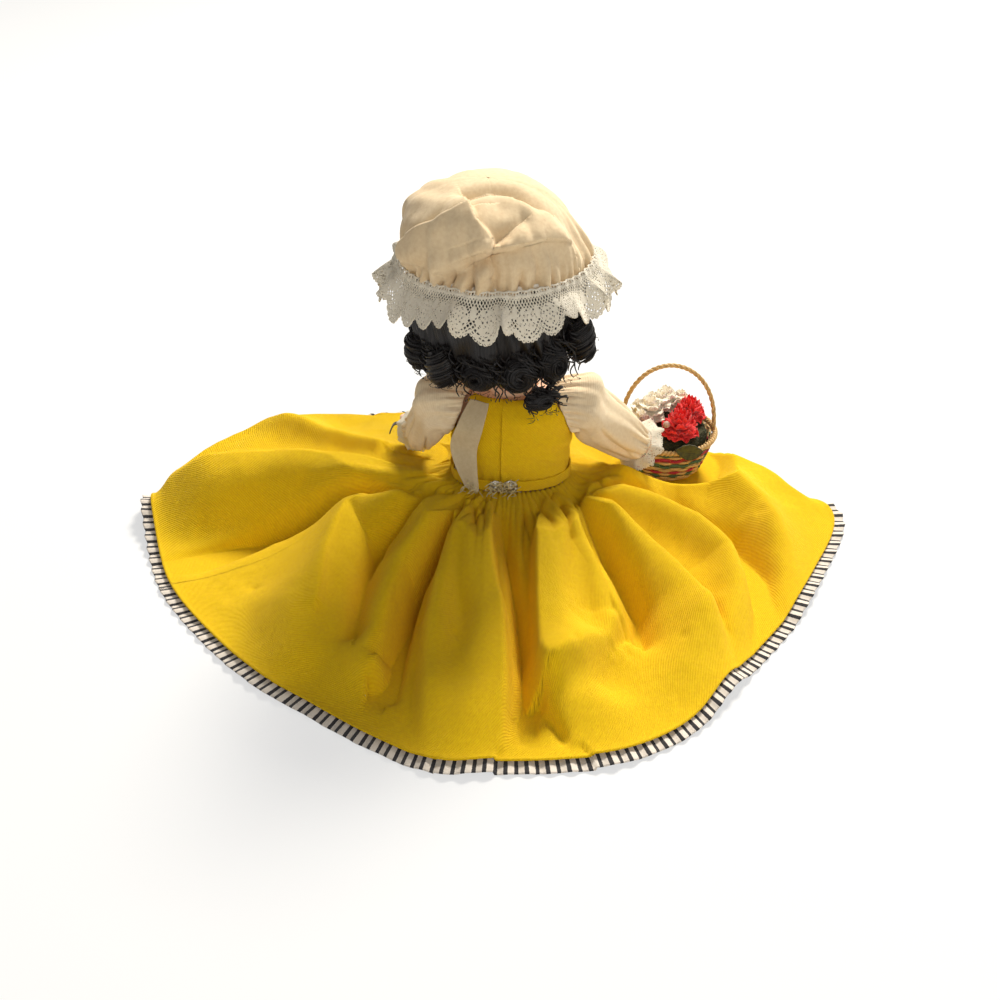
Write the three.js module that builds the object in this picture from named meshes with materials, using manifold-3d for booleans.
// A small strung costume doll, seated with its gathered skirt fanned out around it.
// Millimetres, +Z up. The doll faces +Y, its right side is +X, and it sits on the plane Z = 0.
import * as THREE from 'three';
import { mergeVertices } from 'three/addons/utils/BufferGeometryUtils.js';
import Module from 'manifold-3d';

const wasm = await Module();
wasm.setup();

// Clearances and walls
const seatGap = 0.3;
const plasticWall = 1.8;
const clothWall = 1.1;
const laceWall = 0.7;
const runningGap = 0.6;

// Torso
const torsoBase = 1.8;
const torsoWidth = 35;
const torsoDepth = 24;
const waistHeight = 32;
const shoulderHeight = 55.5;
const neckPivotHeight = 61;
const torsoTop = neckPivotHeight + 2;
const neckBore = 4;
const bodyPower = 2.3;
const hipShares = [0.1875, 0.4375, 0.75];
const chestShare = 0.51;
const widthShares = [0.39, 0.74, 0.95, 0.98, 0.93, 0.98, 1, 0.84, 0.5];
const depthShares = [0.5, 0.8, 1, 1.02, 0.95, 1.04, 0.96, 0.8, 0.6];
const outside = 40;
const armThreadHole = 2.2;
const legThreadHole = 2.6;

// Head, wig and cap
const headWidth = 44;
const headDepth = 45;
const headHeight = 49;
const headRise = 30;
const headTilt = 9;
const headOpening = 6.5;
const wigThickness = 4;
const eyeRadius = 5;
const eyeSpread = 8.6;
const eyeForward = 15.7;
const eyeDrop = 1;
const capRingRise = 42;
const capHeight = 25;
const capBulge = 26.6;
const capLean = 2.1;
const capWidest = 8.5;
const capTurn = 125;
const crownPleats = 10;
const pleatDepth = 0.7;
const laceReach = 8.4;
const laceDrop = 8.4;
const laceWaves = 15;
const capElasticRadius = 0.7;

// Arms and sleeves
const armSocket = 6.5;
const armSeat = 15.3;
const sleeveSeat = 20.4;
const sleevePuff = 9.4;
const sleeveWrist = 5.4;
const cuffReach = 4.2;
const cuffLobes = 9;
const upperArm = 3.8;
const wristRadius = 3.3;
const thumbRadius = 1.25;
const ballInset = 4.5;
const armholeGap = 1.4;

// Legs, socks and shoes
const hipHeight = 13;
const hipForward = 2;
const hipSocket = 12.2;
const hipSeat = 8.9;
const legSpread = 12.6;
const thighRadius = 9;
const calfRadius = 7;
const ankleRadius = 4.9;
const legLength = 90;
const sockTop = 62;
const sockWall = 0.8;
const shoeWall = 1.3;
const shoeEase = 1.2;
const soleThickness = 2;
const throatLow = 6.2;
const throatHigh = 19.4;
const throatDepth = 6.2;
const strapLow = 13;
const strapHigh = 16;
const pantaloonHem = 59;
const pantaloonEase = 1.4;
const frillLobes = 8;

// Skirt and petticoat
const skirtWall = 1;
const petticoatWall = 0.8;
const layerGap = 0.35;
const hemLift = petticoatWall + layerGap + skirtWall;
const ruffleStart = 0.86;
const ruffleReach = 3.5;

// Basket
const basketX = 55;
const basketY = 43;
const basketBase = 7.5;
const basketHeight = 15;
const basketRim = 17.4;
const basketFoot = 11.5;
const basketWall = 1.3;
const handleRise = 24;
const handleRadius = 0.9;

// Colours
const cloth = (hex) => new THREE.MeshStandardMaterial({ color: hex, roughness: 0.9, metalness: 0 });
const plastic = (hex) => new THREE.MeshStandardMaterial({ color: hex, roughness: 0.45, metalness: 0 });
const metal = (hex) => new THREE.MeshStandardMaterial({ color: hex, roughness: 0.35, metalness: 1 });
const yellowTwill = 0xf3d008;
const flesh = 0xf0c4a0;
const creamCotton = 0xeedcbc;
const lace = 0xefe6d2;
const blackHair = 0x17110e;
const whiteCotton = 0xf4f1ea;
const stripedCotton = 0xd8d2cc;
const straw = 0xd9b678;

const degrees = (angle) => THREE.MathUtils.degToRad(angle);
const at = (x, y, z) => new THREE.Vector3(x, y, z);
const smooth = (low, high, value) => THREE.MathUtils.smoothstep(value, low, high);

const doll = new THREE.Group();
doll.name = 'costume_doll';

function piece(name, geometry, material, parent = doll) {
  const mesh = new THREE.Mesh(geometry, material);
  mesh.name = name;
  parent.add(mesh);
  return mesh;
}

// A geometry with positions only, its shared corners merged and its faces pointing out
function closed(geometry) {
  const bare = new THREE.BufferGeometry();
  bare.setAttribute('position', geometry.getAttribute('position').clone());
  if (geometry.index) bare.setIndex(geometry.index.clone());
  const merged = mergeVertices(bare, 1e-4);
  const corner = merged.getAttribute('position');
  const kept = [];
  let volume = 0;
  for (let i = 0; i < merged.index.count; i += 3) {
    const [a, b, c] = [0, 1, 2].map((k) => merged.index.getX(i + k));
    if (a === b || b === c || c === a) continue;
    kept.push(a, b, c);
    const [p, q, r] = [a, b, c].map((k) => new THREE.Vector3().fromBufferAttribute(corner, k));
    volume += p.dot(q.cross(r));
  }
  merged.setIndex(volume < 0 ? kept.reverse() : kept);
  return merged;
}

function fromFaces(points, faces) {
  const geometry = new THREE.BufferGeometry();
  const coordinates = points.flatMap((p) => p.toArray());
  geometry.setAttribute('position', new THREE.Float32BufferAttribute(coordinates, 3));
  geometry.setIndex(faces.flat());
  return closed(geometry);
}

// A body through rings of points, capped by a fan at both ends
function loft(rings) {
  const count = rings[0].length;
  const points = rings.flat();
  const faces = [];
  for (let j = 0; j < rings.length - 1; j += 1) {
    for (let i = 0; i < count; i += 1) {
      const a = j * count + i;
      const b = j * count + ((i + 1) % count);
      faces.push([a, b, b + count], [a, b + count, a + count]);
    }
  }
  for (const j of [0, rings.length - 1]) {
    const middle = points.length;
    const centre = rings[j].reduce((sum, p) => sum.clone().add(p), at(0, 0, 0)).divideScalar(count);
    points.push(centre);
    for (let i = 0; i < count; i += 1) {
      const a = j * count + i;
      const b = j * count + ((i + 1) % count);
      faces.push(j === 0 ? [middle, b, a] : [middle, a, b]);
    }
  }
  return fromFaces(points, faces);
}

// A wall between two surfaces that share their u and v. It goes round in u where it is wrapped.
function wall(outer, inner, across, along, wrapped = true) {
  const columns = wrapped ? across : across + 1;
  const rows = along + 1;
  const points = [];
  for (const surface of [outer, inner]) {
    for (let j = 0; j < rows; j += 1) {
      for (let i = 0; i < columns; i += 1) points.push(surface(i / across, j / along));
    }
  }
  const back = columns * rows;
  const next = (i) => (i + 1) % columns;
  const faces = [];
  const quad = (a, b, c, d) => faces.push([a, b, c], [a, c, d]);
  const last = wrapped ? columns : columns - 1;
  for (let i = 0; i < last; i += 1) {
    for (let j = 0; j < along; j += 1) {
      const a = j * columns + i;
      const b = j * columns + next(i);
      quad(a, b, b + columns, a + columns);
      quad(back + a, back + a + columns, back + b + columns, back + b);
    }
    const top = along * columns;
    quad(i, back + i, back + next(i), next(i));
    quad(top + i, top + next(i), back + top + next(i), back + top + i);
  }
  if (!wrapped) {
    for (let j = 0; j < along; j += 1) {
      const a = j * columns;
      const b = a + columns - 1;
      quad(a, a + columns, back + a + columns, back + a);
      quad(b, back + b, back + b + columns, b + columns);
    }
  }
  return fromFaces(points, faces);
}

function ring(centre, normal, side, halfWide, halfHigh, count, power = 2) {
  const along = normal.clone().normalize();
  const wide = side.clone().addScaledVector(along, -side.dot(along)).normalize();
  const high = along.clone().cross(wide);
  const points = [];
  for (let i = 0; i < count; i += 1) {
    const angle = (2 * Math.PI * i) / count;
    const c = Math.cos(angle);
    const s = Math.sin(angle);
    const p = centre.clone();
    p.addScaledVector(wide, halfWide * Math.sign(c) * Math.abs(c) ** (2 / power));
    p.addScaledVector(high, halfHigh * Math.sign(s) * Math.abs(s) ** (2 / power));
    points.push(p);
  }
  return points;
}

function tube(points, radius, steps, sides = 8) {
  const section = new THREE.Shape();
  for (let i = 0; i < sides; i += 1) {
    const angle = (2 * Math.PI * i) / sides;
    const method = i === 0 ? 'moveTo' : 'lineTo';
    section[method](radius * Math.cos(angle), radius * Math.sin(angle));
  }
  const path = new THREE.CatmullRomCurve3(points);
  return closed(new THREE.ExtrudeGeometry(section, { steps, extrudePath: path, bevelEnabled: false }));
}

function lathe(profile, sides) {
  const points = profile.map(([radius, height]) => new THREE.Vector2(radius, height));
  return closed(new THREE.LatheGeometry(points, sides).rotateX(Math.PI / 2));
}

// Joining and cutting
function solid(geometry) {
  const merged = closed(geometry);
  return new wasm.Manifold(new wasm.Mesh({
    numProp: 3,
    vertProperties: new Float32Array(merged.getAttribute('position').array),
    triVerts: new Uint32Array(merged.index.array),
  }));
}

function meshOf(manifold) {
  const result = manifold.getMesh();
  const geometry = new THREE.BufferGeometry();
  geometry.setAttribute('position', new THREE.Float32BufferAttribute(result.vertProperties, 3));
  geometry.setIndex(Array.from(result.triVerts));
  return geometry;
}

const join = (first, ...others) => others.reduce((sum, other) => sum.add(other), first);
const cut = (first, ...others) => others.reduce((rest, other) => rest.subtract(other), first);
const block = (low, high) => {
  const size = high.clone().sub(low);
  const middle = high.clone().add(low).multiplyScalar(0.5);
  const box = new THREE.BoxGeometry(size.x, size.y, size.z);
  return solid(box.translate(middle.x, middle.y, middle.z));
};
const far = 400;
const beyond = {
  x: (from) => block(at(from, -far, -far), at(far, far, far)),
  y: (from) => block(at(-far, from, -far), at(far, far, far)),
  z: (from) => block(at(-far, -far, from), at(far, far, far)),
};
const before = {
  x: (to) => block(at(-far, -far, -far), at(to, far, far)),
  y: (to) => block(at(-far, -far, -far), at(far, to, far)),
  z: (to) => block(at(-far, -far, -far), at(far, far, to)),
};
const rodX = (radius, from, to, y, z, sides = 16) => {
  const rod = new THREE.CylinderGeometry(radius, radius, Math.abs(to - from), sides);
  return solid(rod.rotateZ(Math.PI / 2).translate((from + to) / 2, y, z));
};
const ball = (radius, x, y, z, sides = 14) => (
  solid(new THREE.SphereGeometry(radius, sides, sides / 2).rotateX(Math.PI / 2).translate(x, y, z))
);

// Smooth torso sections by height: half width, half depth
function torsoSection(z) {
  const hips = hipShares.map((share) => share * waistHeight);
  const chest = THREE.MathUtils.lerp(waistHeight, shoulderHeight, chestShare);
  const heights = [torsoBase, ...hips, waistHeight, chest, shoulderHeight - 0.5, torsoTop - 3, torsoTop];
  const halves = (size, shares) => shares.map((share) => (share * size) / 2);
  const widths = halves(torsoWidth, widthShares);
  const depths = halves(torsoDepth, depthShares);
  let k = 0;
  while (k < heights.length - 2 && z > heights[k + 1]) k += 1;
  const t = THREE.MathUtils.clamp((z - heights[k]) / (heights[k + 1] - heights[k]), 0, 1);
  const ease = t * t * (3 - 2 * t) * 0.5 + t * 0.5;
  return {
    wide: THREE.MathUtils.lerp(widths[k], widths[k + 1], ease),
    deep: THREE.MathUtils.lerp(depths[k], depths[k + 1], ease),
  };
}

// The torso's form, grown evenly by a skin of cloth or shrunk by its own wall
function torsoForm(grow, low = torsoBase, high = torsoTop, levels = 8, count = 14) {
  const rings = [];
  for (let j = 0; j <= levels; j += 1) {
    const z = THREE.MathUtils.lerp(low, high, j / levels);
    const { wide, deep } = torsoSection(z);
    const centre = at(0, 0, j === 0 && low === torsoBase ? z - grow : z);
    rings.push(ring(centre, at(0, 0, 1), at(1, 0, 0), wide + grow, deep + grow, count, bodyPower));
  }
  return solid(loft(rings));
}

// Torso shells with leg, arm and neck sockets
const neckRim = headRise - (headHeight / 2) * Math.sqrt(1 - (headOpening / (headWidth / 2)) ** 2);
const neckDome = Math.hypot(neckRim, headOpening) - 2 * seatGap;

function sockets(extra) {
  const parts = [];
  for (const side of [-1, 1]) {
    const leg = side * (hipSeat - runningGap / 2 - extra);
    const arm = side * (armSeat - runningGap / 2 - extra);
    parts.push(rodX(hipSocket + runningGap + extra, leg, side * outside, hipForward, hipHeight));
    parts.push(rodX(armSocket + runningGap + extra, arm, side * outside, 0, shoulderHeight, 14));
  }
  return parts;
}

{
  const outer = cut(join(torsoForm(0), ball(neckDome, 0, 0, neckPivotHeight)), ...sockets(0));
  const core = join(
    torsoForm(-plasticWall, torsoBase + plasticWall, torsoTop - plasticWall, 6, 12),
    ball(neckDome - plasticWall, 0, 0, neckPivotHeight, 10),
  );
  const hollow = cut(core, ...sockets(plasticWall));
  const bore = solid(new THREE.CylinderGeometry(neckBore, neckBore, 20, 10).rotateX(Math.PI / 2)
    .translate(0, 0, neckPivotHeight + 8));
  const threadHoles = [
    rodX(armThreadHole, -outside, outside, 0, shoulderHeight, 8),
    rodX(legThreadHole, -outside, outside, hipForward, hipHeight, 8),
  ];
  const shell = cut(outer, hollow, bore, ...threadHoles);
  piece('torso_front', meshOf(cut(shell, before.y(seatGap / 2))), plastic(flesh));
  piece('torso_back', meshOf(cut(shell, beyond.y(-seatGap / 2))), plastic(flesh));
}

const armElasticEnd = 10.5;
const legElasticEnd = 4.6;
const elasticRadius = 1.1;
piece('arm_elastic', closed(new THREE.CylinderGeometry(elasticRadius, elasticRadius, 2 * armElasticEnd, 10)
  .rotateZ(Math.PI / 2).translate(0, 0, shoulderHeight)), cloth(0x9a8f80));
piece('leg_elastic', closed(new THREE.CylinderGeometry(elasticRadius, elasticRadius, 2 * legElasticEnd, 10)
  .rotateZ(Math.PI / 2).translate(0, hipForward, hipHeight)), cloth(0x9a8f80));

// Bodice, waistband and pantaloons over the torso
const bodiceBottom = waistHeight + 0.6;
const bodiceTop = neckPivotHeight + 0.5;
const bodiceInner = seatGap;
const bodiceEase = 0.5;
const bodiceOuter = bodiceInner + clothWall + bodiceEase;
const backOpening = -2.5;
{
  const skin = cut(
    torsoForm(bodiceOuter, bodiceBottom, bodiceTop, 5),
    torsoForm(bodiceInner, bodiceBottom - 1, bodiceTop + 0.6, 5),
    rodX(armSocket + armholeGap, -outside, outside, 0, shoulderHeight, 14),
    ball(neckDome + seatGap, 0, 0, neckPivotHeight),
  );
  const sideSeam = -1;
  const front = cut(skin, before.y(sideSeam + seatGap / 2));
  const back = cut(skin, beyond.y(sideSeam - seatGap / 2));
  piece('bodice_front', meshOf(front), cloth(yellowTwill));
  piece('bodice_back_right', meshOf(cut(back, before.x(backOpening + seatGap / 2))), cloth(yellowTwill));
  piece('bodice_back_left', meshOf(cut(back, beyond.x(backOpening - seatGap / 2))), cloth(yellowTwill));
}

const bandInner = bodiceOuter + seatGap;
const bandWall = 0.9;
const bandOuter = bandInner + bandWall;
const bandBottom = waistHeight - 0.4;
const bandTop = waistHeight + 3.2;
piece('waistband', meshOf(cut(
  torsoForm(bandOuter, bandBottom, bandTop, 1),
  torsoForm(bandInner, bandBottom - 1, bandTop + 1, 1),
)), cloth(yellowTwill));

const pantaloonTop = waistHeight - 3.8;
{
  const outer = torsoForm(torsoBase, torsoBase, pantaloonTop, 4);
  const inner = torsoForm(seatGap + 0.2, torsoBase, pantaloonTop + 1, 4);
  const holeRadius = hipSocket + runningGap;
  const legHoles = [-1, 1].map((side) => {
    const near = side * (hipSeat - seatGap);
    const thighRoom = block(
      at(Math.min(near, side * outside), hipForward, hipHeight - holeRadius),
      at(Math.max(near, side * outside), outside, hipHeight + holeRadius),
    );
    return join(rodX(holeRadius, near, side * outside, hipForward, hipHeight), thighRoom);
  });
  piece('pantaloons_seat', meshOf(cut(outer, inner, ...legHoles)), cloth(whiteCotton));
}

// Limbs as lofts along a centre line of stations, each with its own half sizes
function limb(stations, side, grow, count) {
  const line = new THREE.CatmullRomCurve3(stations.map((s) => s.at));
  const rings = [];
  for (let k = 0; k < stations.length; k += 1) {
    const direction = stations[k].normal ?? line.getTangent(k / (stations.length - 1));
    const { at: centre, wide, high } = stations[k];
    rings.push(ring(centre, direction, side, wide + grow, high + grow, count, stations[k].power ?? 2));
  }
  return rings;
}

// Arms: a socket ball, an upper arm, a bent forearm and a mitten hand with its thumb
const armPaths = {
  right: {
    side: 1,
    flat: 0.95,
    flare: 1,
    elbow: at(29.5, 5, 45.5),
    wrist: at(40.5, 13, 34),
    palm: at(45, 17.8, 30),
    tip: at(48.6, 22.4, 27.4),
  },
  left: {
    side: -1,
    flat: 0.62,
    flare: 0.5,
    elbow: at(-27.4, 8, 44.5),
    wrist: at(-30, 18.5, 36),
    palm: at(-32.4, 24.6, 34.4),
    tip: at(-34.4, 30.4, 33.6),
  },
};
const hookRadius = 0.6;
const armHookEye = 1.5;
const legHookEye = 1.1;
const boreGap = 0.4;

for (const [name, arm] of Object.entries(armPaths)) {
  const { side, flat, elbow, wrist, palm, tip } = arm;
  const shoulder = at(side * (armSeat + ballInset), 0, shoulderHeight);
  const stations = [
    { at: shoulder, wide: upperArm, high: upperArm },
    { at: elbow, wide: upperArm * 0.92, high: upperArm * 0.92 },
    { at: elbow.clone().lerp(wrist, 0.5), wide: upperArm * 0.86, high: upperArm * 0.86 },
    { at: wrist, wide: wristRadius, high: wristRadius },
    { at: palm, wide: 2.4, high: 4.3 },
    { at: palm.clone().lerp(tip, 0.6), wide: 2, high: 4 },
    { at: tip, wide: 1, high: 2.2 },
  ];
  const form = solid(loft(limb(stations, at(0, 1, 0.4), 0, 10)));
  const thumbLine = [
    palm.clone().lerp(tip, 0.1), palm.clone().lerp(tip, 0.2).add(at(0, 0, 2.6)),
    palm.clone().lerp(tip, 0.45).add(at(-side * 1.2, 0, 4.4)),
  ];
  const thumb = solid(tube(thumbLine, thumbRadius, 3, 6));
  const socketBall = ball(armSocket, shoulder.x, 0, shoulderHeight);
  const boreDepth = ballInset - 0.5;
  const bore = rodX(hookRadius + boreGap, 0, side * (armSeat + boreDepth), 0, shoulderHeight, 8);
  const trimmed = side > 0 ? before.x(armSeat) : beyond.x(-armSeat);
  piece(`arm_${name}`, meshOf(cut(join(form, socketBall, thumb), trimmed, bore)), plastic(flesh));
  const hookFrom = side * (armElasticEnd + seatGap);
  const hookTo = side * (armSeat + boreDepth - boreGap);
  const eyeCentre = hookFrom + side * (armHookEye + hookRadius);
  const eye = solid(new THREE.TorusGeometry(armHookEye, hookRadius, 5, 9)
    .translate(eyeCentre, 0, shoulderHeight));
  const shank = rodX(hookRadius, eyeCentre + side * (armHookEye - 0.2), hookTo, 0, shoulderHeight, 6);
  piece(`arm_hook_${name}`, meshOf(join(eye, shank)), metal(0xa9a59c));

  // Puffed sleeve, gathered at the armhole and at the wrist
  const sleeve = (grow) => {
    const start = at(side * sleeveSeat, 0, shoulderHeight);
    const crest = start.clone().add(at(side * 2.2, 0.4, -0.8));
    const bend = elbow.clone().lerp(start, 0.35);
    const out = at(side, 0, 0);
    const down = wrist.clone().sub(elbow).normalize();
    const turned = out.clone().add(down).normalize();
    const along = (from, distance) => from.clone().addScaledVector(down, distance);
    return [
      { at: start, wide: armSocket + 1.5, high: armSocket + 1.5, normal: out },
      { at: crest, wide: sleevePuff, high: sleevePuff, normal: turned },
      { at: bend, wide: sleevePuff, high: sleevePuff * (1 + flat) / 2, normal: turned },
      { at: along(elbow, 4), wide: sleevePuff * 0.93, high: sleevePuff * 0.93 * flat, normal: down },
      { at: along(wrist, -3), wide: sleevePuff * 0.78, high: sleevePuff * 0.78 * flat, normal: down },
      { at: along(wrist, 0.4), wide: sleeveWrist, high: sleeveWrist, normal: down },
    ].map((s) => ({ ...s, wide: s.wide + grow, high: s.high + grow }));
  };
  const spread = 14;
  const sleevePleats = 4;
  const outerRings = limb(sleeve(0), at(0, 1, 0.4), 0, spread);
  const innerRings = limb(sleeve(-clothWall), at(0, 1, 0.4), 0, spread);
  for (let k = 1; k < outerRings.length - 1; k += 1) {
    for (let i = 0; i < spread; i += 1) {
      const centre = sleeve(0)[k].at;
      const pleat = 1 + 0.05 * Math.cos((2 * Math.PI * sleevePleats * i) / spread + k);
      outerRings[k][i].sub(centre).multiplyScalar(pleat).add(centre);
      innerRings[k][i].sub(centre).multiplyScalar(pleat).add(centre);
      outerRings[k][i].x = side * Math.max(side * outerRings[k][i].x, sleeveSeat);
      innerRings[k][i].x = side * Math.max(side * innerRings[k][i].x, sleeveSeat + clothWall);
    }
  }
  const pick = (rings) => (u, v) => {
    const points = rings[Math.round(v * (rings.length - 1))];
    return points[Math.round(u * spread) % spread].clone();
  };
  const puffed = solid(wall(pick(outerRings), pick(innerRings), spread, outerRings.length - 1));
  const around = solid(loft(limb(stations, at(0, 1, 0.4), seatGap, 10)));
  const socketRoom = ball(armSocket + seatGap, shoulder.x, 0, shoulderHeight);
  piece(`sleeve_${name}`, meshOf(cut(puffed, around, socketRoom)), cloth(creamCotton));

  // Lace cuff flaring from the wrist gather
  const cuff = (grow) => (u, v) => {
    const down = wrist.clone().sub(elbow).normalize();
    const centre = wrist.clone().addScaledVector(down, 0.4 + seatGap + cuffReach * 0.75 * v);
    const angle = 2 * Math.PI * u;
    const radius = sleeveWrist + cuffReach * arm.flare * v * (1 + 0.16 * Math.cos(cuffLobes * angle)) + grow;
    const wide = at(0, 1, 0.4).addScaledVector(down, -at(0, 1, 0.4).dot(down)).normalize();
    const high = down.clone().cross(wide);
    centre.addScaledVector(wide, radius * Math.cos(angle));
    return centre.addScaledVector(high, radius * Math.sin(angle));
  };
  piece(`cuff_lace_${name}`, wall(cuff(0), cuff(-laceWall), 27, 1), cloth(lace));
}

// Narrow black ribbon hanging in an arch from the left wrist
{
  const { wrist } = armPaths.left;
  const ribbonWidth = 1.6;
  const line = new THREE.CatmullRomCurve3([
    wrist.clone().add(at(-5.2, 4.4, -3.6)), wrist.clone().add(at(-6.6, 6, -1.6)),
    wrist.clone().add(at(-9, 7.4, -2.6)), wrist.clone().add(at(-10.6, 8.4, -6.4)),
  ]);
  const ribbon = (offset) => (u, v) => {
    const p = line.getPoint(v);
    const tangent = line.getTangent(v);
    const flat = tangent.clone().cross(at(0, -0.5, 0.85)).normalize();
    return p.addScaledVector(flat, offset).add(at(0, ribbonWidth * (u - 0.5), 0));
  };
  piece('wrist_ribbon', wall(ribbon(0.25), ribbon(-0.25), 1, 6, false), cloth(0x141216));
}

// Legs: a hip disc, a straight chubby leg and a foot that points up
const ankleY = legLength - 7;
const kneeY = legLength * 0.5;
const footHeight = 24;
const footBehindSole = 3.2;
const heelLow = 2.6;
const discThickness = 8.4;
const legSides = 8;
const hookDepth = 4;

function legForm(side, grow) {
  const x = side * legSpread;
  const stations = [
    { at: at(x, hipForward, hipHeight - 0.4), wide: thighRadius * 0.7, high: thighRadius },
    { at: at(x, 16, 12.1), wide: thighRadius, high: thighRadius },
    { at: at(x, kneeY, 11), wide: calfRadius, high: calfRadius },
    { at: at(x, kneeY + 16, 10.4), wide: calfRadius * 1.02, high: calfRadius * 1.02 },
    { at: at(x, ankleY - 3, 9), wide: ankleRadius, high: ankleRadius },
    { at: at(x, ankleY + 4, 8.6), wide: ankleRadius, high: ankleRadius },
  ].map((s) => ({ ...s, normal: at(0, 1, 0) }));
  const shaft = solid(loft(limb(stations, at(1, 0, 0), grow, legSides)));
  const y = legLength - footBehindSole;
  const foot = [
    { at: at(x, y, heelLow - grow), wide: 3, high: 2.2 },
    { at: at(x, y - 0.4, heelLow + 3), wide: 5, high: 4.2 },
    { at: at(x, y, heelLow + 10), wide: 4.8, high: 3.6 },
    { at: at(x, y + 0.4, heelLow + 17), wide: 5.6, high: 2.8 },
    { at: at(x, y + 0.6, heelLow + footHeight - 3), wide: 5, high: 2.4 },
    { at: at(x, y + 0.6, heelLow + footHeight + grow), wide: 2.4, high: 1.4 },
  ].map((s) => ({ ...s, normal: at(0, 0, 1) }));
  return join(shaft, solid(loft(limb(foot, at(1, 0, 0), grow, legSides))));
}

for (const [name, side] of [['right', 1], ['left', -1]]) {
  const x = side * legSpread;
  const form = legForm(side, 0);
  const disc = rodX(hipSocket, side * hipSeat, side * (hipSeat + discThickness), hipForward, hipHeight);
  const hookBore = rodX(hookRadius + boreGap, 0, side * (hipSeat + hookDepth), hipForward, hipHeight, 8);
  const inward = side > 0 ? before.x(hipSeat) : beyond.x(-hipSeat);
  const besideTorso = cut(join(disc, cut(form, inward)), hookBore);
  const clearOfTorso = cut(form, before.y(hipForward + hipSocket + runningGap + plasticWall));
  piece(`leg_${name}`, meshOf(join(besideTorso, clearOfTorso)), plastic(flesh));

  const hookFrom = side * (legElasticEnd + seatGap);
  const eyeCentre = hookFrom + side * (legHookEye + 0.5);
  const eye = solid(new THREE.TorusGeometry(legHookEye, hookRadius * 0.8, 5, 9)
    .translate(eyeCentre, hipForward, hipHeight));
  const shankEnd = side * (hipSeat + hookDepth - seatGap);
  const shank = rodX(hookRadius, eyeCentre + side * (legHookEye - 0.1), shankEnd, hipForward, hipHeight, 6);
  piece(`leg_hook_${name}`, meshOf(join(eye, shank)), metal(0xa9a59c));

  const sock = cut(legForm(side, seatGap + sockWall), legForm(side, seatGap), before.y(sockTop));
  piece(`sock_${name}`, meshOf(sock), cloth(whiteCotton));

  // Strap shoe: heel counter and vamp over a flat sole, open over the instep, with one strap
  const lining = 2 * seatGap + sockWall;
  const soleY = legLength + shoeEase;
  const lastRings = (grow) => limb([
    { at: at(x, soleY - 4.6, 0.02 + shoeWall - grow), wide: 4.6, high: 3.6 },
    { at: at(x, soleY - 5, 4.6), wide: 5.2, high: 4.8 },
    { at: at(x, soleY - 4.6, 12), wide: 5.2, high: 4.4 },
    { at: at(x, soleY - 4.2, 20), wide: 5.8, high: 3.8 },
    { at: at(x, soleY - 4, 25), wide: 5, high: 3.4 },
    { at: at(x, soleY - 4, 28.4 - shoeWall + grow), wide: 2.6, high: 2 },
  ].map((s) => ({ ...s, normal: at(0, 0, 1) })), at(1, 0, 0), grow + shoeEase, legSides);
  const body = join(
    solid(loft(lastRings(shoeWall))),
    cut(solid(loft(lastRings(shoeWall).map((points) => (
      points.map((p) => at(p.x, soleY + soleThickness - 1 + (p.y - soleY) * 0.12, p.z))
    )))), beyond.y(soleY + soleThickness)),
  );
  const throat = block(at(x - outside, 0, throatLow), at(x + outside, soleY - throatDepth, throatHigh));
  const strapBand = (low, high, grow) => solid(loft(limb([
    { at: at(x, soleY - 4.4, low), wide: 5.2, high: 4.4 },
    { at: at(x, soleY - 4.4, high), wide: 5.3, high: 4.2 },
  ].map((s) => ({ ...s, normal: at(0, 0, 1) })), at(1, 0, 0), shoeEase + grow, legSides)));
  const strap = cut(
    strapBand(strapLow, strapHigh, shoeWall),
    strapBand(strapLow - 1, strapHigh + 1, 0),
    beyond.y(soleY - 4),
  );
  const foot = legForm(side, lining);
  const shoe = cut(join(cut(body, throat), strap), foot, before.z(0));
  piece(`shoe_${name}`, meshOf(shoe), plastic(0x17151a));

  // Pantaloon leg: a loose tube gathered above a frill
  const pantaloon = (grow) => (u, v) => {
    const y = THREE.MathUtils.lerp(hipForward + hipSocket + 3.2, pantaloonHem, v);
    const legRadius = THREE.MathUtils.lerp(thighRadius, calfRadius, smooth(16, kneeY, y));
    const angle = 2 * Math.PI * u;
    const gather = 1 - 0.72 * Math.exp(-(((v - 0.75) / 0.1) ** 2));
    const frill = smooth(0.76, 1, v) * (1 + 0.5 * Math.cos(frillLobes * angle));
    const radius = legRadius + seatGap + pantaloonEase * gather * (1 - v * 0.3) + frill + grow;
    const z = THREE.MathUtils.lerp(12.2, 10.6, v);
    const floor = seatGap + (clothWall - grow) / 2;
    return at(x + radius * Math.cos(angle) * 0.97, y, Math.max(z + radius * Math.sin(angle), floor));
  };
  piece(`pantaloon_leg_${name}`, wall(pantaloon(clothWall * 0.7), pantaloon(0), 16, 4), cloth(whiteCotton));
}

// Skirt hem as it lies: bearing from +X in degrees, reach from the waist axis, lift off the floor
const hemStations = [
  [-168, 110.5, 0], [-152, 103, 0], [-137, 100.5, 0], [-126, 99, 0], [-113, 102, 0], [-101, 107, 0],
  [-92, 105, 0], [-83, 105, 0], [-75, 105.5, 0], [-67, 103.5, 0], [-59, 100.5, 0], [-49, 95, 0],
  [-37, 92.5, 0], [-24, 94, 0], [-9, 99, 0], [8, 111.5, 1], [17, 105, 7], [26, 98, 9], [38, 92, 7],
  [54, 85, 4],
  [72, 76, 14], [90, 75, 17], [108, 76, 14], [120, 76, 14], [128, 84, 14], [136, 98, 14], [144, 108, 14],
  [152, 117, 13], [160, 123, 11], [168, 125.5, 8], [177, 119, 2],
];
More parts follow.
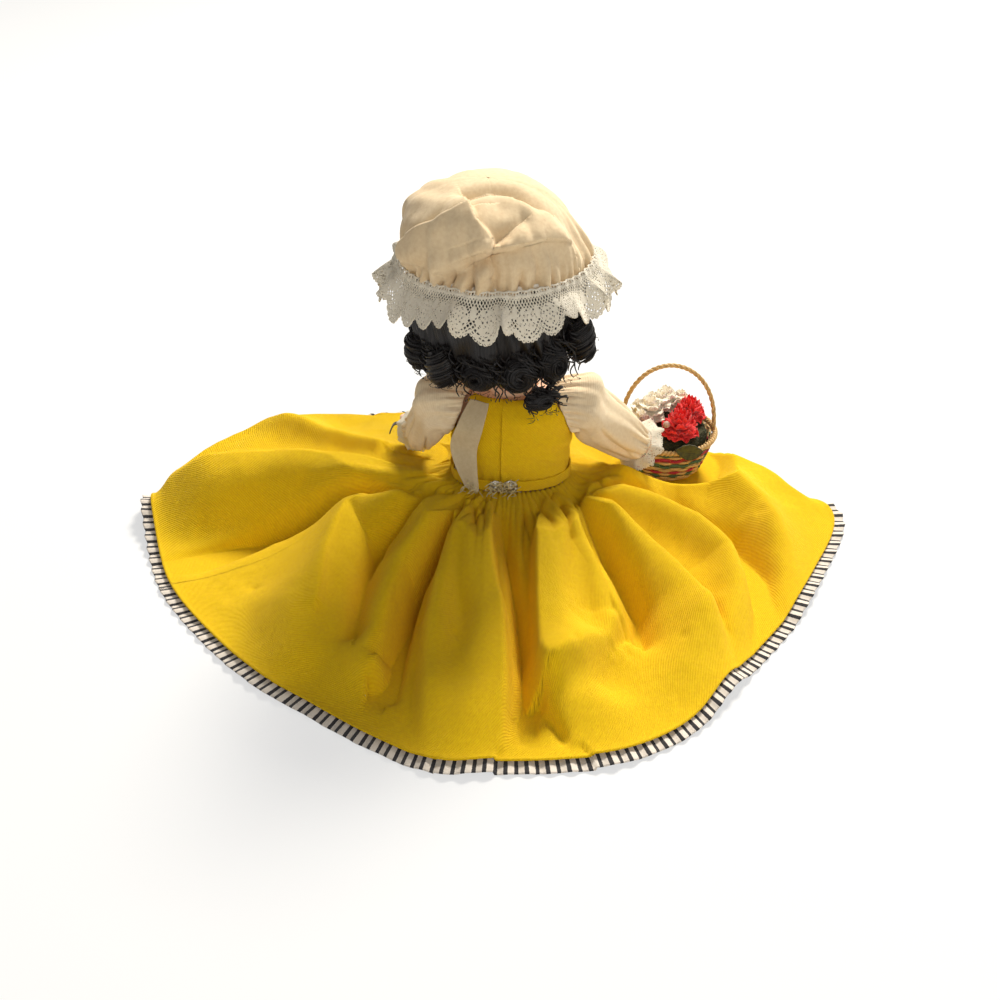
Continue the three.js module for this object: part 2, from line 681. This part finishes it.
// Beyond this share of its reach the far side of the skirt drops from its crest to the hem
const crestShare = 0.93;
const crestSpans = [[9, 17, 44, 54], [125, 135, 164, 173]];

// Main folds in plan: height, half widths to the left and right of the route, then the route outwards.
// A negative height is a valley.
const skirtFolds = [
  [8, 17, 7, [[-24, -9], [-52, 7], [-79, 17], [-120, 22]]],
  [-3, 6, 6, [[-24, -13], [-53, -6], [-84, -18], [-100, -22]]],
  [7, 11, 13, [[-20, -15], [-52, -10], [-60, -34], [-67, -62]]],
  [-4, 4, 4, [[-19, -13], [-41, -22], [-46, -44], [-46, -57]]],
  [6.5, 4, 9, [[-16, -19], [-30, -37], [-35, -60], [-36, -71]]],
  [-3.5, 3, 4, [[-14, -16], [-24, -33], [-29, -55], [-35, -82]]],
  [6, 8, 5, [[-12, -20], [-18, -45], [-21, -80], [-21, -100]]],
  [6.5, 3, 11, [[-3, -19], [-1, -45], [2, -67], [-1, -98]]],
  [-3, 3, 3, [[1.5, -19], [5, -53], [6, -83], [8, -97]]],
  [6.5, 13, 3, [[6, -22], [9, -54], [11, -85], [18, -95]]],
  [5.5, 5, 8, [[16, -20], [27, -44], [31, -55], [12, -81]]],
  [-4, 4, 4, [[20, -14], [34, -37], [38, -56]]],
  [7, 6, 11, [[22, -17], [46, -32], [59, -57], [61, -70]]],
  [8, 4, 9, [[27, -12], [59, -12], [71, -39], [64, -74]]],
  [-5, 6, 5, [[37, -2], [72, -5], [77, -47], [70, -66]]],
  [7, 8, 9, [[37, 4], [69, 22], [90, -12], [92, -32]]],
  [4, 5, 7, [[-44, 24], [-87, 59]]],
];
const hemCurve = new THREE.CatmullRomCurve3(hemStations.map(([bearing, reach, lift]) => (
  at(reach * Math.cos(degrees(bearing)), reach * Math.sin(degrees(bearing)), hemLift + lift)
)), true, 'catmullrom', 0.5);
const skirtWaist = { grow: bandInner, z: bandBottom - seatGap };

// Height of the main folds at a point in plan, each fading to both sides of its route
function foldHeight(x, y) {
  return skirtFolds.reduce((sum, [height, left, right, route]) => {
    let nearest = Infinity;
    let side = 0;
    for (let k = 0; k < route.length - 1; k += 1) {
      const [ax, ay] = route[k];
      const [dx, dy] = [route[k + 1][0] - ax, route[k + 1][1] - ay];
      const t = THREE.MathUtils.clamp(((x - ax) * dx + (y - ay) * dy) / (dx * dx + dy * dy), 0, 1);
      const [offX, offY] = [x - ax - t * dx, y - ay - t * dy];
      const distance = Math.hypot(offX, offY);
      if (distance < nearest) {
        nearest = distance;
        side = dx * offY - dy * offX;
      }
    }
    return sum + height * Math.exp(-((nearest / (side >= 0 ? left : right)) ** 2));
  }, 0);
}

// How much of its height the skirt loses at the hem, by bearing
function crestDrop(bearing) {
  return crestSpans.reduce((sum, [start, full, fading, end]) => (
    sum + smooth(start, full, bearing) * (1 - smooth(fading, end, bearing))
  ), 0);
}

function waistReach(angle) {
  const { wide, deep } = torsoSection(waistHeight);
  const across = Math.abs(Math.cos(angle)) / (wide + skirtWaist.grow);
  const along = Math.abs(Math.sin(angle)) / (deep + skirtWaist.grow);
  return (across ** bodyPower + along ** bodyPower) ** (-1 / bodyPower);
}

const bedMargin = 8;
const leftWrist = armPaths.left.wrist;
const underCuff = leftWrist.z - sleeveWrist - cuffReach * armPaths.left.flare - 8 * seatGap;
const foldRun = 0.2;
const foldEnd = 0.72;
const hemFade = 0.85;
const lapHeight = 27.4;
const lapFlat = 14;
const lapFall = 20;
const lapBlend = 4;

// Height of the smooth tent between waist and hem, raised over the legs and pressed under the basket
function tentHeight(p, v, hemHeight) {
  const inner = THREE.MathUtils.clamp(1 - v, 0, 1);
  const puff = 1.6 * Math.sin(Math.PI * Math.min(v, 1));
  const slope = hemHeight + (skirtWaist.z - hemHeight) * inner ** 1.8 + puff;
  const beside = Math.max(0, Math.abs(p.x) - lapFlat);
  const legs = (lapHeight - 0.04 * p.y) * Math.exp(-((beside / lapFall) ** 2)) * smooth(0, 14, p.y);
  const near = Math.max(0, 1 - Math.abs(slope - legs) / lapBlend);
  return Math.max(slope, legs) + (lapBlend / 4) * near * near;
}

// The top face of the skirt. Past v = 1 it runs on beyond the hem.
function skirtTop(u, v) {
  const hem = hemCurve.getPoint(u);
  hem.z = Math.max(hem.z, hemLift);
  const angle = Math.atan2(hem.y, hem.x);
  const start = waistReach(angle);
  const reach = start + (Math.hypot(hem.x, hem.y) - start) * v;
  const p = at(reach * Math.cos(angle), reach * Math.sin(angle), 0);
  const swell = smooth(0, foldRun, v) * (1 - hemFade * smooth(foldEnd, 1, v));
  p.z = tentHeight(p, v, hem.z) + swell * foldHeight(p.x, p.y);
  const drop = crestDrop(THREE.MathUtils.radToDeg(angle)) * smooth(crestShare, 1, v);
  p.z = Math.max(hemLift, THREE.MathUtils.lerp(p.z, hemLift, drop));
  if (v > 0) p.z = Math.min(p.z, skirtWaist.z - 2 * seatGap);
  const pressed = (x, y, height, reach) => {
    p.z = Math.min(p.z, height + Math.max(0, Math.hypot(p.x - x, p.y - y) - reach));
  };
  pressed(basketX, basketY, basketBase - 3 * seatGap, basketFoot + bedMargin);
  pressed(leftWrist.x, leftWrist.y, underCuff, sleevePuff);
  return p;
}

const petticoatEnd = ruffleStart - 0.012;
const petticoatRows = [0, 0.14, 0.3, 0.46, 0.64, petticoatEnd];
const ruffleRows = [ruffleStart, crestShare, 1];
const skirtRows = [...petticoatRows, ...ruffleRows];
const aroundWaist = 56;
const byRow = (rows, surface) => (u, v) => surface(u, rows[Math.round(v * (rows.length - 1))]);
const lowered = (surface, drop) => (u, v) => surface(u, v).add(at(0, 0, -drop));
const skirtFace = byRow(skirtRows, skirtTop);
piece('skirt', wall(
  skirtFace,
  lowered(skirtFace, skirtWall),
  aroundWaist,
  skirtRows.length - 1,
), cloth(yellowTwill));

// Petticoat close below the skirt, and its striped ruffle that shows past the hem
const underSkirt = skirtWall + layerGap;
const petticoatFace = byRow(petticoatRows, lowered(skirtTop, underSkirt));
piece('petticoat', wall(
  petticoatFace,
  lowered(petticoatFace, petticoatWall),
  aroundWaist,
  petticoatRows.length - 1,
), cloth(whiteCotton));

const ruffleFace = byRow([...ruffleRows, 2], (u, v) => {
  const hem = hemCurve.getPoint(u);
  const past = v > 1 ? ruffleReach / Math.hypot(hem.x, hem.y) : 0;
  return skirtTop(u, Math.min(v, 1) + past).add(at(0, 0, -underSkirt));
});
piece('striped_ruffle', wall(
  ruffleFace,
  lowered(ruffleFace, petticoatWall),
  aroundWaist,
  ruffleRows.length,
), cloth(stripedCotton));

// Snap halves at the back of the waist and the bare cloth tag
{
  const back = -(torsoSection(waistHeight).deep + bandOuter + seatGap);
  const snapProfile = (radius, middle) => [
    [0, 0], [radius, 0], [radius, 0.5], [radius * 0.72, 1], [middle, 1], [middle, 1.5], [0, 1.5],
  ];
  const place = (geometry, x, z) => geometry.rotateX(Math.PI / 2).translate(x, back, z);
  piece('snap_socket', place(lathe(snapProfile(2.2, 0.8), 12), -0.2, waistHeight + 1.8), metal(0xb5b2a8));
  piece('snap_stud', place(lathe(snapProfile(1.9, 0.6), 12), -4.8, waistHeight + 2.1), metal(0xb5b2a8));
}
{
  const tagWall = 0.4;
  const tagWidth = 9;
  const backOf = (x, z, off) => {
    const { wide, deep } = torsoSection(z);
    const share = (1 - (Math.abs(x) / (wide + bodiceOuter)) ** bodyPower) ** (1 / bodyPower);
    return at(x, -(deep + bodiceOuter) * share - off, z);
  };
  const tagLine = new THREE.CatmullRomCurve3([
    backOf(-9.6, bodiceTop - 0.4, seatGap), backOf(-12.6, 54, 1.6), backOf(-14.6, 46, 1),
    backOf(-13.8, 39.5, 3), backOf(-12, 33.6, 5),
  ]);
  const tag = (offset) => (u, v) => {
    const p = tagLine.getPoint(v);
    const taper = 0.35 + 0.65 * Math.sin(Math.PI * THREE.MathUtils.clamp(0.16 + v * 0.78, 0, 1));
    const across = at(1, -0.4, 0).normalize().multiplyScalar(tagWidth * taper * (u - 0.5));
    return p.add(across).add(at(0, -offset, 0));
  };
  piece('cloth_tag', wall(tag(tagWall), tag(0), 2, 7, false), cloth(0xe6d9bd));
}

// Head group: everything that turns on the neck leans a little to the doll's left
const head = new THREE.Group();
head.position.set(0, 0, neckPivotHeight);
head.rotation.y = -degrees(headTilt);
doll.add(head);

// Head surface by bearing from +Y and by polar angle from the top, with cheeks, chin and a small nose
function headPoint(bearing, polar, grow) {
  const out = at(Math.sin(bearing) * Math.sin(polar), Math.cos(bearing) * Math.sin(polar), Math.cos(polar));
  const p = at(out.x * (headWidth / 2), out.y * (headDepth / 2), out.z * (headHeight / 2));
  const facing = Math.max(0, Math.cos(bearing));
  const low = smooth(1.7, 2.5, polar);
  const bump = (b, q, spread) => Math.exp(-(((bearing - b) ** 2) + ((polar - q) ** 2)) / (spread * spread));
  const features = 1.6 * bump(0, 1.84, 0.1) + 0.7 * (bump(0.42, 1.98, 0.26) + bump(-0.42, 1.98, 0.26))
    + 1.1 * bump(0, 2.36, 0.22);
  const jaw = 1 - 0.1 * low * (1 - facing);
  p.x *= jaw;
  p.addScaledVector(out, grow + features);
  p.z += headRise;
  return p;
}
const neckPolar = Math.PI - Math.asin(headOpening / (headWidth / 2));
{
  const bearingOf = (u) => {
    const turn = 2 * Math.PI * u - Math.PI;
    return turn - 0.42 * Math.sin(turn);
  };
  const around = 24;
  const rows = 12;
  const rings = [];
  for (let k = 0; k <= rows; k += 1) {
    const polar = Math.max(neckPolar * (k / rows), 0.04);
    rings.push(Array.from({ length: around }, (_, i) => headPoint(bearingOf(i / around), polar, 0)));
  }
  const inside = solid(new THREE.SphereGeometry(1, 14, 9).rotateX(Math.PI / 2).scale(
    headWidth / 2 - plasticWall,
    headDepth / 2 - plasticWall,
    headHeight / 2 - plasticWall,
  ).translate(0, 0, headRise));
  const throat = solid(new THREE.CylinderGeometry(headOpening, headOpening, 8, 14).rotateX(Math.PI / 2)
    .translate(0, 0, neckRim));
  const eyeSockets = [-1, 1].map((side) => (
    ball(eyeRadius + 1.5 * seatGap, side * eyeSpread, eyeForward, headRise - eyeDrop)
  ));
  const hollowed = cut(solid(loft(rings)), inside, throat, ...eyeSockets);
  piece('head_front', meshOf(cut(hollowed, before.y(seatGap / 2))), plastic(flesh), head);
  piece('head_back', meshOf(cut(hollowed, beyond.y(-seatGap / 2))), plastic(flesh), head);
}

// Hook bar across the neck opening inside the head, with its shank down into the torso
{
  const barHeight = neckRim + plasticWall + 2.2;
  const barHalf = headOpening + 1.1;
  const bar = rodX(1, -barHalf, barHalf, 0, barHeight, 8);
  const hookClearance = 1;
  const shankDepth = neckPivotHeight - shoulderHeight - elasticRadius - hookClearance;
  const shankRadius = 0.8;
  const shank = solid(new THREE.CylinderGeometry(shankRadius, shankRadius, barHeight + shankDepth, 8)
    .rotateX(Math.PI / 2).translate(0, 0, (barHeight - shankDepth) / 2));
  piece('head_hook', meshOf(join(bar, shank)), metal(0xa9a59c), head);
}

// Sleeping eyes on a weighted rocker
for (const [name, side] of [['right', 1], ['left', -1]]) {
  const eyeball = new THREE.SphereGeometry(eyeRadius, 12, 8)
    .translate(side * eyeSpread, eyeForward, headRise - eyeDrop);
  piece(`eye_${name}`, closed(eyeball), plastic(0x6a4a2c), head);
}
{
  const inner = eyeSpread - eyeRadius - seatGap;
  const axle = rodX(0.9, -inner, inner, eyeForward, headRise - eyeDrop, 8);
  const drop = solid(tube([
    at(0, eyeForward, headRise - eyeDrop), at(0, eyeForward - 3, headRise - eyeDrop - 4.6),
    at(0, eyeForward - 6.4, headRise - eyeDrop - 9),
  ], 0.8, 3, 6));
  const weight = rodX(2.4, -3, 3, eyeForward - 6.8, headRise - eyeDrop - 9.6, 10);
  piece('eye_rocker', meshOf(join(axle, drop, weight)), metal(0x77767a), head);
}

// Wig cap with a hairline that rises over the face
function hairEdge(bearing) {
  const back = (1 - Math.cos(bearing)) / 2;
  return degrees(THREE.MathUtils.lerp(58, 142, back ** 0.62));
}
function wigPoint(u, v, grow) {
  const bearing = 2 * Math.PI * u - Math.PI;
  const polar = hairEdge(bearing) * v;
  const wave = 0.5 * Math.sin(9 * bearing + 5 * polar) * smooth(0.5, 1.2, polar);
  return headPoint(bearing, polar, grow > 1 ? grow + wave : grow);
}
const wigInner = 4 * seatGap;
const wigColumns = 24;
const wigRows = 6;
piece('wig_cap', wall(
  (u, v) => wigPoint(u, v, wigInner + wigThickness * (1 - 0.45 * smooth(0.85, 1, v))),
  (u, v) => wigPoint(u, v, wigInner),
  wigColumns,
  wigRows,
), cloth(blackHair), head);

// Large curls hanging below the wig: bearing from +Y, height above the neck pivot, radius, length
const curls = [
  [120, 20, 5, 12], [145, 16.4, 5.2, 13], [170, 16.4, 5.4, 11.5], [195.5, 17.6, 5.2, 10.5],
  [220, 20.4, 5, 10], [243, 22.6, 4.6, 9.5], [158, 6.6, 4.6, 6.6],
];
const curlOut = 26.6;
const filledWig = solid(loft(Array.from({ length: wigRows + 1 }, (_, k) => (
  Array.from({ length: wigColumns }, (_unused, i) => (
    wigPoint(i / wigColumns, Math.max(k, 0.05) / wigRows, wigInner + wigThickness + seatGap)
  ))
))));
curls.forEach(([bearing, height, radius, length], index) => {
  const angle = degrees(bearing);
  const rows = 5;
  const rings = [];
  for (let k = 0; k <= rows; k += 1) {
    const t = k / rows;
    const belly = Math.sin(Math.PI * (0.12 + 0.76 * t)) ** 0.6;
    const coil = 1 + 0.12 * Math.cos(2 * Math.PI * 3 * t);
    const z = height + length * (0.5 - t);
    const out = curlOut + 0.6 * Math.sin(Math.PI * t);
    const centre = at(out * Math.sin(angle), out * Math.cos(angle), z);
    const tiltAxis = at(Math.sin(angle) * 0.2, Math.cos(angle) * 0.2, -1);
    rings.push(ring(centre, tiltAxis, at(1, 0, 0), radius * belly * coil, radius * belly * coil, 9));
  }
  piece(`wig_curl_${index + 1}`, meshOf(cut(solid(loft(rings)), filledWig)), cloth(blackHair), head);
});

// Mob cap: its gathered ring stays level although the head leans
const cap = new THREE.Group();
cap.position.set(capRingRise * 0.045, 0, capRingRise);
cap.rotation.y = degrees(headTilt);
head.add(cap);
const wigAtRing = (headWidth / 2) * Math.sqrt(1 - ((capRingRise - headRise) / (headHeight / 2)) ** 2)
  + wigInner + wigThickness;
const capRing = wigAtRing + 1 + 2 * capElasticRadius + seatGap;
const crownBottom = 1;
{
  const crown = (grow) => (u, v) => {
    const angle = 2 * Math.PI * u;
    const polar = v * degrees(capTurn);
    const gather = smooth(0.6, 0.95, v);
    const bulge = capBulge * Math.sin(Math.min(polar, degrees(100))) ** 0.9;
    const radius = THREE.MathUtils.lerp(bulge, capRing + clothWall, gather);
    const gathers = smooth(0.4, 0.6, v) * (1 - smooth(0.7, 0.95, v));
    const pleat = pleatDepth * Math.cos(crownPleats * angle) * gathers;
    const crease = -1.6 * Math.exp(-(((angle - 4.4) / 0.22) ** 2)) * smooth(0.1, 0.35, v) * (1 - gather);
    const upper = polar < Math.PI / 2;
    const fall = Math.cos(polar) / (upper ? 1 : -Math.cos(degrees(capTurn)));
    const height = capWidest + fall * (upper ? capHeight - capWidest : capWidest - crownBottom);
    const full = v < 1e-6 ? 0 : radius + pleat + crease + grow;
    const lean = -capLean * (1 - smooth(0.45, 0.8, v));
    return at(full * Math.cos(angle) + lean, full * Math.sin(angle), height + grow * (1 - gather));
  };
  piece('cap_crown', wall(crown(0), crown(-clothWall), 36, 5), cloth(creamCotton), cap);
}
{
  const profile = [];
  for (let k = 0; k <= 6; k += 1) {
    const angle = (2 * Math.PI * (k % 6)) / 6;
    profile.push([
      capRing - 2 * seatGap - capElasticRadius + capElasticRadius * Math.cos(angle),
      crownBottom + 1 + capElasticRadius * Math.sin(angle),
    ]);
  }
  piece('cap_elastic', lathe(profile, 24), cloth(0xd9d2c4), cap);
}
{
  const frill = (grow) => (u, v) => {
    const angle = 2 * Math.PI * u;
    const wave = Math.cos(laceWaves * angle);
    const radius = capRing + 0.2 + laceReach * v * (1 + 0.06 * wave) + grow * 0.6;
    const z = crownBottom - seatGap - laceDrop * v ** 1.3 + 2 * wave * v - grow * 0.8;
    return at(radius * Math.cos(angle), radius * Math.sin(angle), z);
  };
  piece('cap_lace', wall(frill(0), frill(laceWall), 4 * laceWaves, 1), cloth(lace), cap);
}

// Straw basket with an arched handle, filled with moss and flowers
const mossRise = 1.2;
const basket = new THREE.Group();
basket.position.set(basketX, basketY, basketBase);
doll.add(basket);
{
  const flare = (t) => THREE.MathUtils.lerp(basketFoot, basketRim - 0.8, t ** 0.8);
  const outer = [0, 0.25, 0.5, 0.75, 1].map((t) => [flare(t), t * (basketHeight - 1.6)]);
  const rimRoll = [
    [basketRim, basketHeight - 1.2],
    [basketRim, basketHeight - 0.3],
    [basketRim - 1, basketHeight],
  ];
  const inner = [1, 0.66, 0.33].map((t) => [
    flare(t) - basketWall,
    Math.max(t * (basketHeight - 1.2), basketWall),
  ]);
  const floor = [[basketFoot - basketWall, basketWall], [0, basketWall]];
  const profile = [[0, 0], ...outer, ...rimRoll, ...inner, ...floor];
  piece('basket_body', lathe(profile, 18), cloth(straw), basket);

  const mossRoom = basketWall + 2 * seatGap;
  const moss = [
    [0, basketHeight * 0.42],
    [flare(0.4) - mossRoom, basketHeight * 0.42],
    [flare(0.84) - mossRoom, basketHeight - 2.2],
    [basketRim * 0.66, basketHeight + mossRise],
    [0, basketHeight + mossRise],
  ];
  piece('basket_moss', lathe(moss, 18), cloth(0x3b3a1c), basket);

  const foot = basketRim - 1.2;
  const footZ = basketHeight + seatGap;
  const arch = [-1, -0.86, -0.5, 0, 0.5, 0.86, 1].map((t) => (
    at(foot * Math.sin((t * Math.PI) / 2), 0, footZ + handleRise * Math.cos((t * Math.PI) / 2) ** 0.9)
  ));
  piece('basket_handle', tube(arch, handleRadius, 16, 6), cloth(straw), basket);
}

// A bloom is a lobed ball of petals
function bloom(radius, lobes, flatness, x, y, z) {
  const rows = 5;
  const rings = [];
  for (let k = 0; k <= rows; k += 1) {
    const polar = Math.PI * (0.06 + 0.88 * (k / rows));
    const points = [];
    for (let i = 0; i < 10; i += 1) {
      const angle = (2 * Math.PI * i) / 10;
      const r = radius * (1 + 0.13 * Math.cos(lobes * angle) * Math.sin(polar));
      points.push(at(x + r * Math.sin(polar) * Math.cos(angle), y + r * Math.sin(polar) * Math.sin(angle),
        z + r * flatness * Math.cos(polar)));
    }
    rings.push(points);
  }
  return loft(rings);
}
const bloomBase = basketHeight + mossRise + seatGap;
// Name, colour, radius, lobes, flatness and place in the basket
const flowers = [
  ['red_flower_1', 0xd8262b, 6.1, 5, 0.8, 3.2, -8.4],
  ['red_flower_2', 0xd8262b, 5.3, 5, 0.8, 8, 3.8],
  ['white_blossom_1', 0xeadfca, 4.9, 5, 0.95, -6.4, 1.6],
  ['white_blossom_2', 0xeadfca, 4.6, 5, 1, 0.2, 10.4],
  ['pink_flower', 0xc9a79b, 3.9, 5, 0.95, -8.4, -8.6],
];
for (const [name, colour, radius, lobes, flatness, x, y] of flowers) {
  const lift = radius * flatness;
  piece(name, bloom(radius, lobes, flatness, x, y, bloomBase + lift), cloth(colour), basket);
}
{
  const leaf = (offset) => (u, v) => {
    const width = 4.4 * Math.sin(Math.PI * THREE.MathUtils.clamp(v, 0.02, 0.98)) ** 0.8;
    const x = 1 + 10 * v;
    const y = -Math.sqrt((basketRim + 0.5) ** 2 - x * x) + 0.4 * offset;
    return at(x, y, basketHeight + 1.2 + width * (u - 0.5) * 1.4 - 2.6 * v + offset);
  };
  piece('basket_leaf', wall(leaf(0.3), leaf(-0.3), 2, 5, false), cloth(0x3d3c10), basket);
}

export default doll;
